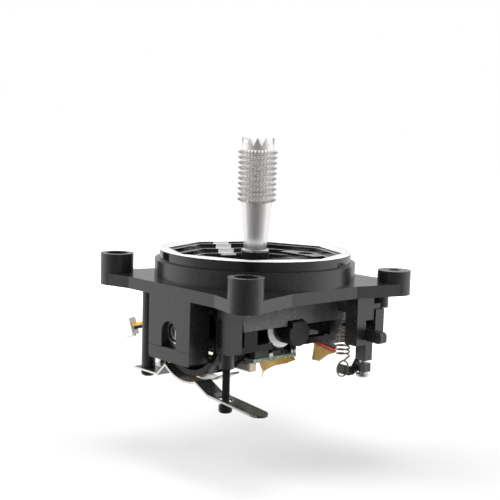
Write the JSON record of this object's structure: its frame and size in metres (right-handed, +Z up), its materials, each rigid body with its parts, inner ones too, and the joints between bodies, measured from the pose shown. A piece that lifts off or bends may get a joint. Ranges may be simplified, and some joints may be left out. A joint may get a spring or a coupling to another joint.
{
  "type": "joystick gimbal",
  "caption": "Stick gimbal for a hand-held transmitter: black square frame with corner posts, stepped round bezel, domed cradle, knurled metal stick, friction straps and centering spring.",
  "frame": {"origin": "on the bezel ring's axis, at the underside of the mounting plate", "axes": "+Z up along the stick, Y along the dome and the pan axis, X along the tilt axis"},
  "size_m": [0.0639, 0.0584, 0.0651],
  "materials": {
    "frame_plastic": "glass-filled black plastic, semi-gloss",
    "bezel_metal": "black anodised with a bright cut rim",
    "dome_plastic": "dark grey, fine sparkling grain",
    "cradle_plastic": "black moulded plastic",
    "bright_aluminium": "turned and polished",
    "spring_steel": "bright spring wire and strip",
    "strap_steel": "brushed strip",
    "black_oxide": "black oxide steel",
    "shaft_steel": "ground steel",
    "white_plastic": "white moulded plastic",
    "magnet": "nickel-plated magnet",
    "board": "fibreglass board, solder mask",
    "chip_black": "black epoxy",
    "socket_plastic": "cream plastic",
    "lead_red": "insulated wire",
    "lead_yellow": "insulated wire",
    "lead_black": "insulated wire"
  },
  "bodies": {
    "frame": {"housing": "frame_plastic", "bezel_ring": "bezel_metal", "front_retainer": "frame_plastic", "back_retainer": "frame_plastic", "retainer_screws": "black_oxide", "bearing_outer_rings": "shaft_steel", "smooth_strap": "strap_steel", "ratchet_strap": "strap_steel", "strap_anchor_screws": "black_oxide", "strap_standoff": "shaft_steel", "strap_tension_screw": "black_oxide", "lever_pin": "shaft_steel", "centering_spring": "spring_steel", "lead_red": "lead_red", "lead_yellow": "lead_yellow", "lead_black": "lead_black", "plug": "white_plastic"},
    "cradle": {"dome": "dome_plastic", "cradle": "cradle_plastic", "bearing_inner_rings": "shaft_steel", "pivot_shafts": "shaft_steel", "tilt_bushes": "shaft_steel", "tilt_centering_spring": "spring_steel", "sensor_board": "board", "board_screws": "shaft_steel", "board_connector": "socket_plastic", "board_chips": "chip_black"},
    "stick": {"tilt_shaft": "shaft_steel", "stick_carrier": "cradle_plastic", "magnet_holder": "white_plastic", "tilt_magnet": "magnet", "stick_stem": "bright_aluminium", "lock_grip": "bright_aluminium", "stick_core": "shaft_steel"},
    "tip": {"tip_grip": "bright_aluminium"},
    "lever": {"centering_lever": "frame_plastic"},
    "slider": {"spring_slider": "frame_plastic"},
    "adjuster": {"spring_tension_screw": "shaft_steel"}
  },
  "joints": [
    {"name": "pan", "type": "hinge", "parent": "frame", "child": "cradle", "pos_m": [0, 0, -0.0086], "axis": [0, 1, 0], "range_deg": [-25, 25], "stiffness_Nm_per_rad": 0.06, "deforming": ["lead_red", "lead_yellow", "lead_black"]},
    {"name": "tilt", "type": "hinge", "parent": "cradle", "child": "stick", "pos_m": [0, 0, -0.0086], "axis": [1, 0, 0], "range_deg": [-25, 25], "stiffness_Nm_per_rad": 0.06, "deforming": ["tilt_centering_spring"]},
    {"name": "tip_height", "type": "slide", "parent": "stick", "child": "tip", "axis": [0, 0, 1], "range_m": [0, 0.003]},
    {"name": "lever_lift", "type": "hinge", "parent": "frame", "child": "lever", "pos_m": [-0.019, 0.0193, -0.00315], "axis": [0, -1, 0], "range_deg": [0, 2], "stiffness_Nm_per_rad": 0.02, "springref_deg": -28.65, "deforming": ["centering_spring"]},
    {"name": "spring_screw_turn", "type": "hinge", "parent": "frame", "child": "adjuster", "pos_m": [0.0236, 0.0162, -0.0196], "axis": [0, 0, 1], "range_deg": [-540, 360]},
    {"name": "spring_slide", "type": "slide", "parent": "frame", "child": "slider", "axis": [0, 0, 1], "range_m": [-0.0004, 0.0006]}
  ],
  "couplings": [
    {"joint": "spring_screw_turn", "follows": "spring_slide", "rad_per_m": -15708}
  ]
}
